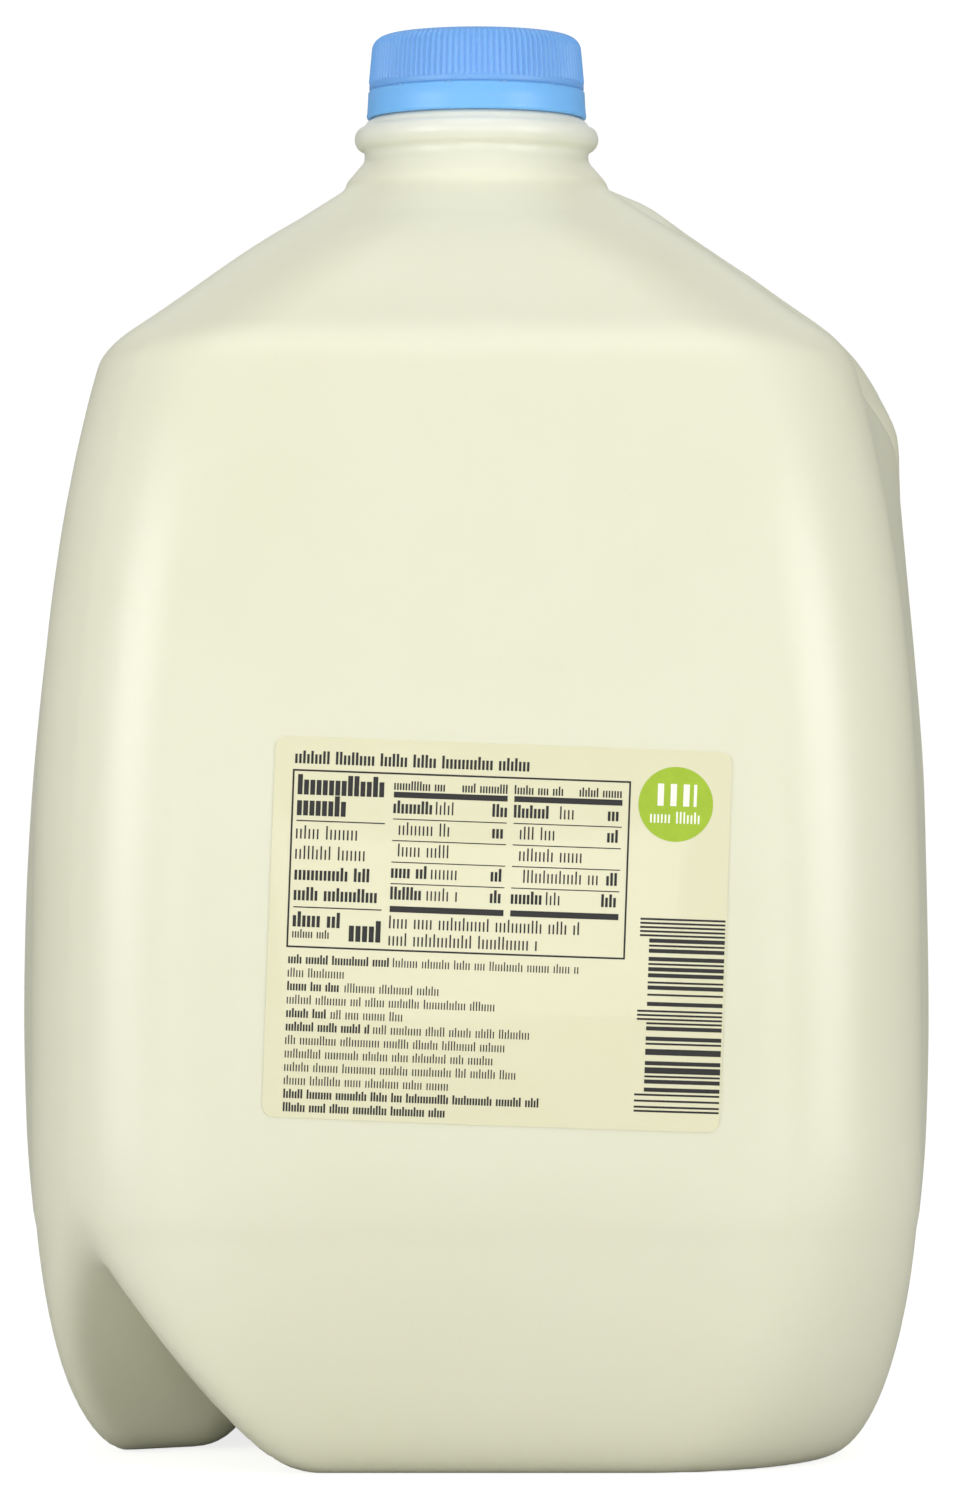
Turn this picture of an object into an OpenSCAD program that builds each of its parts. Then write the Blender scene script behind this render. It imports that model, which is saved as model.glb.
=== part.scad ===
// Gallon milk jug: a square blow-moulded bottle with a hollow corner handle, filled up into
// its neck and closed by a ribbed cap with a tamper band, with a label on its front panel.
//
// The origin is at the middle of the base and +Z is up. The label faces -Y, and the handle
// stands on the corner between +X and +Y. The mould parts along the diagonal through the
// handle, and leaves a pinch-off groove under each of the two corners on that diagonal.
// Sizes are in millimetres.

/* [Body] */
// Width across two opposite panels, at their upright edges
body_w = 149; // [130:1:185]
// Radius of the four upright corners
corner_r = 27; // [20:0.5:34]
// Radius of the same corners where they meet the ground
foot_corner_r = 33; // [24:0.5:44]
// Thickness of the blown wall
wall = 0.8; // [0.6:0.1:1.5]
// How far the middle of a panel stands out past its edges
crown_h = 4; // [0:0.5:8]
// Height of the fullest part of the panels
crown_z = 76; // [60:1:95]
// Height over which the foot curves in under the body
foot_h = 56; // [35:1:70]
// How far the foot curves in
foot_in = 15; // [8:0.5:22]

/* [Shoulder] */
// Height at which the shoulder starts
shoulder_z = 187.5; // [170:1:230]
// How far the wall has drawn in below the shoulder
draw_in = 11.4; // [6:0.5:16]
// Radius of the crease between wall and shoulder
crease_r = 9; // [4:0.5:12]
// Slope of the four shoulder panels, in degrees
shoulder_deg = 36.4; // [30:0.2:40]

/* [Neck] */
// Outer radius of the screw finish inside the cap
finish_r = 17; // [15:0.1:20]
// How far the waist between the ledge and the bead stands out past the finish
waist_out = 2.6; // [2:0.1:4]
// How far the ledge at the foot of the neck stands out past the waist
ledge_out = 3.1; // [2:0.1:5]
// Height of the neck, from its ledge to the underside of the tamper band
neck_h = 13; // [12:0.1:18]
// How far the bead stands out from the waist
bead_out = 1.75; // [0.8:0.05:2.5]
// Height of the bead
bead_h = 4.2; // [3:0.1:6]

/* [Handle] */
// Depth of the grip, away from the body
grip_depth = 26; // [20:0.5:30]
// Width of the grip, across the fingers
grip_w = 34; // [30:0.5:40]
// How far the grip stands out past the jug's rounded corner
grip_out = 8.2; // [2:0.2:14]
// Slope of the upper arm from the neck down to the grip, in degrees
arm_deg = 22; // [10:1:30]
// Depth below the shoulder of the corner between the grip and its upper arm
knee_drop = 6.5; // [0:0.5:15]
// Width of the finger gap between the grip and the body
finger_gap = 30; // [24:0.5:34]
// Height of the gap's floor
gap_floor_z = 106; // [95:1:120]
// Depth of the gap's roof below the shoulder
gap_roof_drop = 7.5; // [2:0.5:15]

/* [Pinch-off groove] */
// Height at which the groove's two flanks would meet on the corner
groove_top = 42; // [30:1:48]
// Slope of the groove's middle line, up to the corner, in degrees
groove_deg = 27; // [18:1:32]
// Steepness of the groove's two flanks, in degrees
flank_deg = 54; // [45:1:62]
// Radius along the groove's middle line
groove_r = 6; // [3:0.5:9]

/* [Base] */
// Width of the ring that the base stands on
ring_w = 15.5; // [8:0.5:25]
// Depth of the recess under the base
recess_h = 6; // [2:0.5:8]

/* [Milk] */
// Gap between the milk and the wall around it
milk_gap = 0.1; // [0.05:0.05:0.3]
// Height of the milk above the neck's ledge
milk_rise = 9; // [6:0.5:11]

/* [Cap] */
// Height of the ribbed cap above its tamper band
cap_h = 9.6; // [8:0.1:18]
// Thickness of the cap's top and skirt
cap_wall = 1.2; // [0.8:0.1:2]
// Clearance between the cap's skirt and the neck finish
cap_gap = 0.3; // [0.1:0.1:0.6]
// Number of ribs round the cap
rib_n = 110; // [60:1:140]
// Height of a rib above the skirt
rib_out = 0.35; // [0.2:0.05:0.6]
// Radius of the cap's upper edge
cap_edge_r = 2.6; // [0.8:0.1:3]
// How much narrower the cap's radius is at its top than at its foot
cap_draft = 0.5; // [0:0.1:0.8]

/* [Tamper band] */
// Height of the tamper band
band_h = 4.9; // [3:0.1:7]
// Height of the slit between the band and the cap
slit_h = 0.4; // [0.3:0.1:0.8]
// How far the band's lower edge stands out past the ribs
band_flare = 0.4; // [0:0.1:1]
// Number of bridges that tie the band to the cap
bridge_n = 12; // [6:1:20]

/* [Label] */
// Width of the label
label_w = 74.5; // [60:0.5:90]
// Height of the label
label_h = 62; // [50:0.5:72]
// Thickness of the label
label_t = 0.2; // [0.15:0.05:0.4]
// Corner radius of the label
label_r = 2; // [1:0.5:6]
// Height of the label's middle
label_z = 89.6; // [80:0.1:100]
// Offset of the label's middle towards +X
label_x = 3.4; // [-6:0.1:6]
// Turn of the label, clockwise as seen from the front, in degrees
label_turn = 2.1; // [0:0.1:4]

/* [Hidden] */

half_w = body_w / 2;
waist_r = finish_r + waist_out;
ledge_r = waist_r + ledge_out;
// Power of the curve along which the wall draws in towards the shoulder
draw_power = 3.2;
// Steps along a panel, round a corner, up the foot, up the wall and round the crease
panel_n = 4;
arc_n = 5;
foot_n = 5;
wall_n = 7;
crease_n = 3;
// Steps round the neck, the handle and the cap
neck_fn = 36;
tube_fn = 16;
cap_fn = 96;
// Gap between the label and the smooth panel behind it
label_gap = 0.05;
// Radii of the path that the grip follows at its upper and lower corners
knee_r = 20;
heel_r = 18;
// The grip's lower end: its corner below the gap's floor, and how deep it runs into the body
heel_drop = 9;
heel_in = -0.6;
tail_in = 34;
tail_drop = 20;
// Edge radius of the space behind the grip, and how far it opens out to each side
pocket_r = 13;
pocket_out = 75;
pocket_narrow = 6;
pocket_wide = 62;
// Where the grooves start and end, along the diagonal
groove_start = 30;
groove_past = 18;
groove_under = 8;
// Heights of the ledge's rim and of the slope above it
ledge_rim_h = 1.8;
ledge_slope_h = 5.4;
// Height of the step from the waist in to the finish, and how far it leans in at its foot
step_h = 1.1;
step_in = 0.5;
// Distance of the bore from the cone's foot, where the shoulder's panels cut into the cone
cone_lap = 1;
// Height of the waist between the bead and that step
bead_gap = 1.5;

// The handle stands on the corner, and its height goes with the shoulder's
corner_reach = sqrt(2) * (half_w - corner_r) + corner_r;
grip_reach = corner_reach + grip_out - grip_depth / 2;
knee_z = shoulder_z - knee_drop;
gap_roof_z = shoulder_z - gap_roof_drop;

// The shoulder rises from its foot to the ledge of the neck, and ends a little outside it
ledge_foot = 1.7;
ledge_rise = 1;
shoulder_half = half_w - draw_in;
loft_top_half = ledge_r + ledge_foot;
loft_top_z = shoulder_z + (shoulder_half - loft_top_half) * tan(shoulder_deg);
ledge_z = loft_top_z + ledge_rise;
// The neck's cone comes out of the shoulder panels below the ledge
cone_drop = 5.6;
cone_slope = 1.5;
cone_r = ledge_r + cone_drop * cone_slope;

bead_z = ledge_z + neck_h - bead_gap - bead_h / 2;
cap_z = ledge_z + neck_h + band_h;
cap_in_r = finish_r + cap_gap;
skirt_r = cap_in_r + cap_wall;
cap_r = skirt_r + rib_out;
cap_top_z = cap_z + cap_h;
// The cap seats on the rim of the neck
rim_z = cap_top_z - cap_wall;
milk_z = ledge_z + milk_rise;
step_z = ledge_z + neck_h - step_in;

// ---------------------------------------------------------------- curves

function unit(v) = v / norm(v);

// Points of the arc of radius r that rounds the corner b of the path a, b, c
function rounded_corner(a, b, c, r, n) =
    let (
        u = unit(a - b),
        v = unit(c - b),
        half_angle = acos(u * v) / 2,
        centre = b + unit(u + v) * r / sin(half_angle),
        from = b + u * r / tan(half_angle) - centre,
        to = b + v * r / tan(half_angle) - centre,
        start = atan2(from.y, from.x),
        sweep = (atan2(to.y, to.x) - start + 540) % 360 - 180
    )
    [for (i = [0:n]) let (t = start + sweep * i / n) centre + r * [cos(t), sin(t)]];

// Half width of the body's section at height z, below the shoulder
function side(z) =
    z < foot_h
        ? half_w - foot_in * (1 - sqrt(1 - pow(1 - z / foot_h, 2)))
        : half_w - draw_in * pow((z - foot_h) / (shoulder_z - foot_h), draw_power);

// How far a panel's middle stands out at height z
function bow(z) =
    let (t = z < crown_z ? (crown_z - z) / crown_z : (z - crown_z) / (shoulder_z - crown_z))
    crown_h * pow(max(0, 1 - t * t), 2);

// Radius of the upright corner at height z, where the section's half width is e
function corner(e, z) =
    let (low = pow(max(0, 1 - z / foot_h), 2))
    min(corner_r + (foot_corner_r - corner_r) * low, 0.86 * e);

// How far the panel's surface is from the axis, at the offset x along it, round into its corner
function panel(x, z) =
    let (
        c = corner(side(z), z),
        flat = side(z) - c,
        past = min(c, max(0, abs(x) - flat)),
        s = x / flat
    )
    flat + sqrt(c * c - past * past) + bow(z) * max(0, 1 - s * s);

// ---------------------------------------------------------------- bottle form

// The outline of the body from the middle of its base to the neck, as [half width, height]
function body_outline() =
    let (
        recess_half = half_w - foot_in - ring_w,
        wall_top = [side(shoulder_z - crease_r), shoulder_z - crease_r],
        edge = [shoulder_half, shoulder_z],
        shoulder_top = [loft_top_half, loft_top_z]
    )
    concat(
        [[recess_half - 2 * recess_h, recess_h], [recess_half, 0]],
        [for (i = [0:foot_n])
            let (t = 90 * i / foot_n) [side(foot_h * (1 - cos(t))), foot_h * (1 - cos(t))]],
        [for (i = [1:wall_n])
            let (z = foot_h + (wall_top.y - foot_h) * i / (wall_n + 0.5)) [side(z), z]],
        rounded_corner(wall_top, edge, shoulder_top, crease_r, crease_n),
        [shoulder_top]
    );

// The outline moved inwards by inset, each point along the mean normal of its two sides
function inset_outline(pts, inset) =
    let (last = len(pts) - 1)
    [for (i = [0:last])
        let (
            before = i == 0 ? [1, 0] : unit(pts[i] - pts[i - 1]),
            after = i == last ? before : unit(pts[i + 1] - pts[i]),
            along = unit(before + after),
            normal = [along.y, -along.x],
            stretch = 1 / max(0.5, sqrt((1 + before * after) / 2))
        )
        pts[i] - normal * inset * stretch];

// One section: four panels, each bowed out by b, and four corners of radius c
function section(e, c, b) =
    [for (q = [0:3])
        for (p = concat(
            [for (i = [0:panel_n - 1])
                let (s = 2 * i / panel_n - 1) [e + b * (1 - s * s), s * (e - c)]],
            [for (i = [0:arc_n - 1])
                let (t = 90 * i / arc_n) [e - c + c * cos(t), e - c + c * sin(t)]]
        ))
        [p.x * cos(90 * q) - p.y * sin(90 * q), p.x * sin(90 * q) + p.y * cos(90 * q)]];

// Closed solid through a stack of rings that all have as many points
module loft(rings) {
    n = len(rings[0]);
    last = len(rings) - 1;
    points = [for (ring = rings) for (p = ring) p];
    sides = [for (j = [0:last - 1]) for (i = [0:n - 1])
        let (a = j * n + i, b = j * n + (i + 1) % n)
        for (f = [[a, a + n, b], [b, a + n, b + n]]) f];
    floor_face = [for (i = [0:n - 1]) i];
    top_face = [for (i = [n - 1:-1:0]) last * n + i];
    polyhedron(points, concat([floor_face], sides, [top_face]));
}

// Body and shoulder, moved inwards by inset
module body_form(inset) {
    outline = body_outline();
    moved = inset_outline(outline, inset);
    loft([for (i = [0:len(outline) - 1])
        let (
            e = outline[i].x,
            c = corner(e, outline[i].y) - (e - moved[i].x),
            in_foot = outline[i].y < foot_h && i < 3
        )
        [for (p = section(moved[i].x, c, in_foot ? 0 : bow(outline[i].y)))
            [p.x, p.y, moved[i].y]]]);
}

// Centre line of the handle in the diagonal plane, as [distance from the axis, height]
function handle_path() =
    let (
        neck_d = ledge_r + cone_drop,
        neck_end = [neck_d, knee_z + (grip_reach - neck_d) * tan(arm_deg)],
        knee = [grip_reach, knee_z],
        heel = [grip_reach - heel_in, gap_floor_z - heel_drop],
        body_end = [grip_reach - tail_in, gap_floor_z - tail_drop]
    )
    concat(
        [neck_end],
        rounded_corner(neck_end, knee, heel, knee_r, 5),
        rounded_corner(knee, heel, body_end, heel_r, 4),
        [body_end]
    );

// Places its children on the diagonal, at the distance d from the axis and the height z
module on_diagonal(d, z, across = 0) {
    rotate([0, 0, 45])
        translate([d, across, z])
            children();
}

// The handle tube, as a chain of rounded slabs
module handle_form(inset) {
    path = handle_path();
    across = (grip_w - grip_depth) / 2;
    for (i = [0:len(path) - 2])
        hull()
            for (p = [path[i], path[i + 1]])
                for (sign = [-1, 1])
                    on_diagonal(p.x, p.y, sign * across)
                        sphere(grip_depth / 2 - inset, $fn = tube_fn);
}

// The space behind the grip, through the corner from one panel to the next
module pocket_form(grow) {
    back = grip_reach - grip_depth / 2 - finger_gap + pocket_r;
    hull()
        for (z = [gap_floor_z + pocket_r, gap_roof_z - pocket_r])
            for (p = [[back, pocket_narrow], [back + pocket_out, pocket_wide]])
                for (sign = [-1, 1])
                    on_diagonal(p.x, z, sign * p.y)
                        sphere(pocket_r + grow, $fn = tube_fn);
}

// The pinch-off groove under a corner on the parting diagonal: a V that rises outwards
module groove_form(grow) {
    rise = tan(groove_deg);
    flank = tan(flank_deg);
    drop = groove_r * sqrt(1 + rise * rise + flank * flank);
    hull()
        for (d = [groove_start, corner_reach + groove_past]) {
            line_z = groove_top - rise * (corner_reach - d) - drop;
            on_diagonal(d, line_z)
                sphere(groove_r + grow, $fn = tube_fn);
            for (sign = [-1, 1])
                on_diagonal(d, -groove_under, sign * (line_z + groove_under) / flank)
                    sphere(groove_r + grow, $fn = tube_fn);
        }
}

// Everything that the blown wall follows below the neck
module bottle_form(inset) {
    difference() {
        body_form(inset);
        pocket_form(inset);
        groove_form(inset);
        rotate([0, 0, 180]) groove_form(inset);
    }
    handle_form(inset);
}

module turned(outline) {
    rotate_extrude($fn = neck_fn) polygon(outline);
}

// Outside of the neck: cone, ledge, waist, bead and finish
module neck_form() {
    bead = [for (t = [-90:45:90]) [waist_r + bead_out * cos(t), bead_z + bead_h / 2 * sin(t)]];
    turned(concat(
        [[0, ledge_z - cone_drop], [cone_r, ledge_z - cone_drop], [ledge_r, ledge_z],
            [ledge_r, ledge_z + ledge_rim_h], [waist_r, ledge_z + ledge_slope_h]],
        bead,
        [[waist_r - step_in, step_z], [finish_r, step_z + step_h],
            [finish_r, rim_z], [0, rim_z]]
    ));
}

// Space in the neck, from below the ledge up to top_z
module bore_form(inset, top_z) {
    waist_top = step_z - 0.6 * inset;
    finish_foot = step_z + step_h + 0.4 * inset;
    straight = [[cone_r - inset - cone_lap, ledge_z - cone_drop],
        [ledge_r - inset, ledge_z - 0.6 * inset],
        [waist_r - inset, ledge_z + ledge_slope_h - 0.6 * inset]];
    turned(concat(
        [[0, ledge_z - cone_drop]],
        straight,
        top_z > finish_foot
            ? [[waist_r - inset, waist_top], [finish_r - inset, finish_foot],
                [finish_r - inset, top_z]]
            : [[waist_r - inset, top_z]],
        [[0, top_z]]
    ));
}

// ---------------------------------------------------------------- pieces

module jug() {
    color([0.93, 0.93, 0.85])
        difference() {
            union() {
                bottle_form(0);
                neck_form();
            }
            bottle_form(wall);
            bore_form(wall, rim_z + 1);
        }
}

module milk() {
    color([0.97, 0.96, 0.9])
        union() {
            bottle_form(wall + milk_gap);
            bore_form(wall + milk_gap, milk_z);
        }
}

// The outside of the cap, set out by the distance out, up to its rounded edge
function cap_outline(out) =
    let (top_r = skirt_r - cap_draft + out)
    concat(
        [[0, cap_z], [skirt_r + out, cap_z]],
        [for (t = [0:30:90])
            [top_r - cap_edge_r * (1 - cos(t)), cap_top_z - cap_edge_r * (1 - sin(t))]],
        [[0, cap_top_z]]
    );

// Star of flat-topped ribs, cut to the cap's draft and fading out at its rounded edge
module ribs() {
    pitch = 360 / rib_n;
    root_r = skirt_r - cap_draft - 0.2;
    outline = [for (i = [0:rib_n - 1])
        for (p = [[0, root_r], [0.35, cap_r + 0.1], [0.65, cap_r + 0.1], [1, root_r]])
            let (t = pitch * (i + 0.9 * p.x)) [p.y * cos(t), p.y * sin(t)]];
    intersection() {
        translate([0, 0, cap_z])
            linear_extrude(cap_h - cap_edge_r * 0.4)
                polygon(outline);
        rotate_extrude($fn = cap_fn)
            polygon(cap_outline(rib_out));
    }
}

module cap() {
    color([0.42, 0.68, 0.95])
        difference() {
            union() {
                rotate_extrude($fn = cap_fn)
                    polygon(cap_outline(0));
                ribs();
            }
            translate([0, 0, cap_z - 1])
                cylinder(r = cap_in_r, h = rim_z - cap_z + 1, $fn = cap_fn);
        }
}

// The band stays on the neck when the cap is first turned, and its bridges break
module tamper_band() {
    low_z = cap_z - band_h;
    top_z = cap_z - slit_h;
    low_r = cap_r + band_flare;
    bridge_w = 0.8;
    color([0.4, 0.66, 0.94]) {
        rotate_extrude($fn = cap_fn)
            polygon([[cap_in_r, low_z + 0.6], [low_r - 0.5, low_z], [low_r, low_z + 0.5],
                [cap_r, top_z - 0.3], [cap_r - 0.3, top_z], [cap_in_r, top_z]]);
        for (i = [0:bridge_n - 1])
            rotate([0, 0, 360 * i / bridge_n])
                translate([cap_in_r + 0.2, -bridge_w / 2, top_z - 0.2])
                    cube([cap_wall - 0.5, bridge_w, slit_h + 0.2]);
    }
}

// A point of the label, at a across and b up from its middle, lifted off the panel
function label_point(a, b, lift) =
    let (
        x = label_x + a * cos(label_turn) + b * sin(label_turn),
        z = label_z - a * sin(label_turn) + b * cos(label_turn)
    )
    [x, -panel(x, z) - lift, z];

// The label follows the crown of the front panel. Its rows close up round its corners.
module label() {
    cols = 8;
    rows = 6;
    straight = label_h / 2 - label_r;
    heights = concat(
        [for (t = [90:-30:30]) -straight - label_r * sin(t)],
        [for (i = [0:rows]) straight * (2 * i / rows - 1)],
        [for (t = [30:30:90]) straight + label_r * sin(t)]
    );
    points = [for (lift = [label_gap + label_t, label_gap])
        for (b = heights)
            let (
                past = max(0, abs(b) - straight),
                half = label_w / 2 - label_r + sqrt(max(0, label_r * label_r - past * past))
            )
            for (i = [0:cols]) label_point(half * (2 * i / cols - 1), b, lift)];
    across = cols + 1;
    last = len(heights) - 1;
    back = across * len(heights);
    // The rim, counter-clockwise as seen from the front
    rim = concat(
        [for (i = [0:cols]) i],
        [for (j = [1:last]) j * across + cols],
        [for (i = [cols - 1:-1:0]) last * across + i],
        [for (j = [last - 1:-1:1]) j * across]
    );
    faces = concat(
        [for (j = [0:last - 1]) for (i = [0:cols - 1])
            let (a = j * across + i, b = a + across)
            for (f = [[a, b, a + 1], [a + 1, b, b + 1],
                [back + a, back + a + 1, back + b], [back + a + 1, back + b + 1, back + b]]) f],
        [for (i = [0:len(rim) - 1])
            let (a = rim[i], b = rim[(i + 1) % len(rim)])
            for (f = [[a, b, back + b], [a, back + b, back + a]]) f]
    );
    color([0.95, 0.93, 0.82])
        polyhedron(points, faces);
}

jug();
milk();
cap();
tamper_band();
label();
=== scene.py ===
"""A gallon milk jug: blown bottle, milk, ribbed cap, tamper band and printed label.

The bottle is one smooth skin around a signed field, so that its body, shoulder, neck, hollow
handle and pinch-off grooves run into each other as blown plastic does. Everything is in metres,
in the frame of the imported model: +Z up, the label faces -Y, the handle stands between +X and +Y.
"""

from __future__ import annotations

import logging
import math
import random
from dataclasses import dataclass, field
from enum import Enum
import bmesh
import bpy
import numpy as np
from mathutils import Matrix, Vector


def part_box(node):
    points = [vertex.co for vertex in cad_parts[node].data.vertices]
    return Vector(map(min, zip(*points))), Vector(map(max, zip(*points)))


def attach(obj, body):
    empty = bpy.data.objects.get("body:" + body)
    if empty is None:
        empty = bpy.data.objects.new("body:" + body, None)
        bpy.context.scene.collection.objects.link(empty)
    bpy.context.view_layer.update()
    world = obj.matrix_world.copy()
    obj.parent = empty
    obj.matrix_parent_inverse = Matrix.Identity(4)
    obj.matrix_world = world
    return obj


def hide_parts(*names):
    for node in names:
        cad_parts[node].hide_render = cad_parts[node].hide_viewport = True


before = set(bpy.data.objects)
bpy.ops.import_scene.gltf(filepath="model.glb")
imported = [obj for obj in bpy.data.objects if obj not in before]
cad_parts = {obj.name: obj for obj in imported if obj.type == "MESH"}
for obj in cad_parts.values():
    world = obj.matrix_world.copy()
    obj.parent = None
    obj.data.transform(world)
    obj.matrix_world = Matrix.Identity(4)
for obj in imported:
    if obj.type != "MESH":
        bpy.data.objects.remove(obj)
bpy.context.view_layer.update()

LOG = logging.getLogger("milk_jug")
BODY = "root"
MM = 0.001
SWELL_PEAK = 0.057  # greatest value of t**3 * (1 - t)**1.5, at t = 2/3
SIDE_STEP = 0.0005  # step over which the side's lean is read
NECK_LEAN = 0.75  # shortens the neck's level distance, as its cone leans
FIELD_STEP = 0.0001  # step over which the field's slope is read

Array = np.ndarray
Rgb = tuple[float, float, float]


# ---------------------------------------------------------------- mesh helpers


def new_piece(name: str, verts: Array, faces: list | Array,
              smooth: bool = True) -> bpy.types.Object:
    """Make a mesh object and link it to the scene.

    Args:
        name: The object's name.
        verts: Corner positions, one row each.
        faces: Corner numbers of each face.
        smooth: Whether the faces are shaded smooth.

    Returns:
        The new object.
    """
    mesh = bpy.data.meshes.new(name)
    face_list = faces.tolist() if isinstance(faces, np.ndarray) else faces
    mesh.from_pydata(verts.tolist() if isinstance(verts, np.ndarray) else verts, [], face_list)
    mesh.validate()
    if smooth:
        mesh.shade_smooth()
    piece = bpy.data.objects.new(name, mesh)
    bpy.context.scene.collection.objects.link(piece)
    return piece


def fit_piece(piece: bpy.types.Object, material: bpy.types.Material) -> None:
    """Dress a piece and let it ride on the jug.

    Args:
        piece: The piece to fit.
        material: Its finish.
    """
    piece.data.materials.clear()
    piece.data.materials.append(material)
    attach(piece, BODY)
    LOG.info("%s: %d faces", piece.name, len(piece.data.polygons))


def loft_rings(rings: list[Array], close_start: bool = False, close_end: bool = False,
               close_loop: bool = False) -> tuple[Array, list]:
    """Skin a stack of rings that all have as many points.

    Args:
        rings: Arrays of points, each running the same way round.
        close_start: Whether the first ring gets a face.
        close_end: Whether the last ring gets a face.
        close_loop: Whether the last ring joins the first.

    Returns:
        The corner positions and the faces.
    """
    count = len(rings[0])
    faces: list = []
    stack = len(rings)
    for j in range(stack if close_loop else stack - 1):
        low, high = j * count, ((j + 1) % stack) * count
        for i in range(count):
            k = (i + 1) % count
            faces.append((low + i, low + k, high + k, high + i))
    if close_start:
        faces.append(tuple(reversed(range(count))))
    if close_end:
        faces.append(tuple(range((stack - 1) * count, stack * count)))
    return np.concatenate(rings), faces


def surface_net(values: Array, xs: Array, ys: Array, zs: Array) -> tuple[Array, Array]:
    """Skin the zero level of a field on a grid with quads.

    Args:
        values: The field at the grid's points, below zero inside.
        xs: Grid lines along X.
        ys: Grid lines along Y.
        zs: Grid lines along Z.

    Returns:
        The corner positions and the quads, facing outwards.
    """
    lines = (xs, ys, zs)
    shape = tuple(len(line) - 1 for line in lines)
    cell_of, points, quads = [], [], []
    for axis in range(3):
        near = [slice(None)] * 3
        far = [slice(None)] * 3
        near[axis] = slice(0, -1)
        far[axis] = slice(1, None)
        a, b = values[tuple(near)], values[tuple(far)]
        index = np.array(np.nonzero((a < 0) != (b < 0)))
        va, vb = a[tuple(index)], b[tuple(index)]
        crossing = np.stack([lines[k][index[k]] for k in range(3)], 1)
        step = lines[axis][index[axis] + 1] - lines[axis][index[axis]]
        crossing[:, axis] += step * va / (va - vb)
        u, v = (axis + 1) % 3, (axis + 2) % 3
        keep = ((index[u] > 0) & (index[u] < shape[u]) & (index[v] > 0) & (index[v] < shape[v]))
        corner_cells = []
        for du, dv in ((1, 1), (0, 1), (0, 0), (1, 0)):
            cell = index.copy()
            cell[u] -= du
            cell[v] -= dv
            fits = (cell[u] >= 0) & (cell[u] < shape[u]) & (cell[v] >= 0) & (cell[v] < shape[v])
            held = tuple(np.clip(cell[k], 0, shape[k] - 1) for k in range(3))
            number = np.ravel_multi_index(held, shape)
            cell_of.append(number[fits])
            points.append(crossing[fits])
            corner_cells.append(number)
        quad = np.stack(corner_cells, 1)[keep]
        flip = (va >= 0)[keep]
        quad[flip] = quad[flip][:, ::-1]
        quads.append(quad)
    ids, inverse = np.unique(np.concatenate(cell_of), return_inverse=True)
    stacked = np.concatenate(points)
    count = np.bincount(inverse)
    verts = np.stack([np.bincount(inverse, stacked[:, k]) / count for k in range(3)], 1)
    return verts, np.searchsorted(ids, np.concatenate(quads))


def smooth_min(a: Array, b: Array, blend: float) -> Array:
    """The lesser of two fields, rounded over a width where they meet."""
    h = np.clip(0.5 + 0.5 * (b - a) / blend, 0.0, 1.0)
    return b + (a - b) * h - blend * h * (1.0 - h)


def smooth_max(a: Array, b: Array, blend: float) -> Array:
    """The greater of two fields, rounded over a width where they meet."""
    return -smooth_min(-a, -b, blend)


# ---------------------------------------------------------------- the bottle's form


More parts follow.
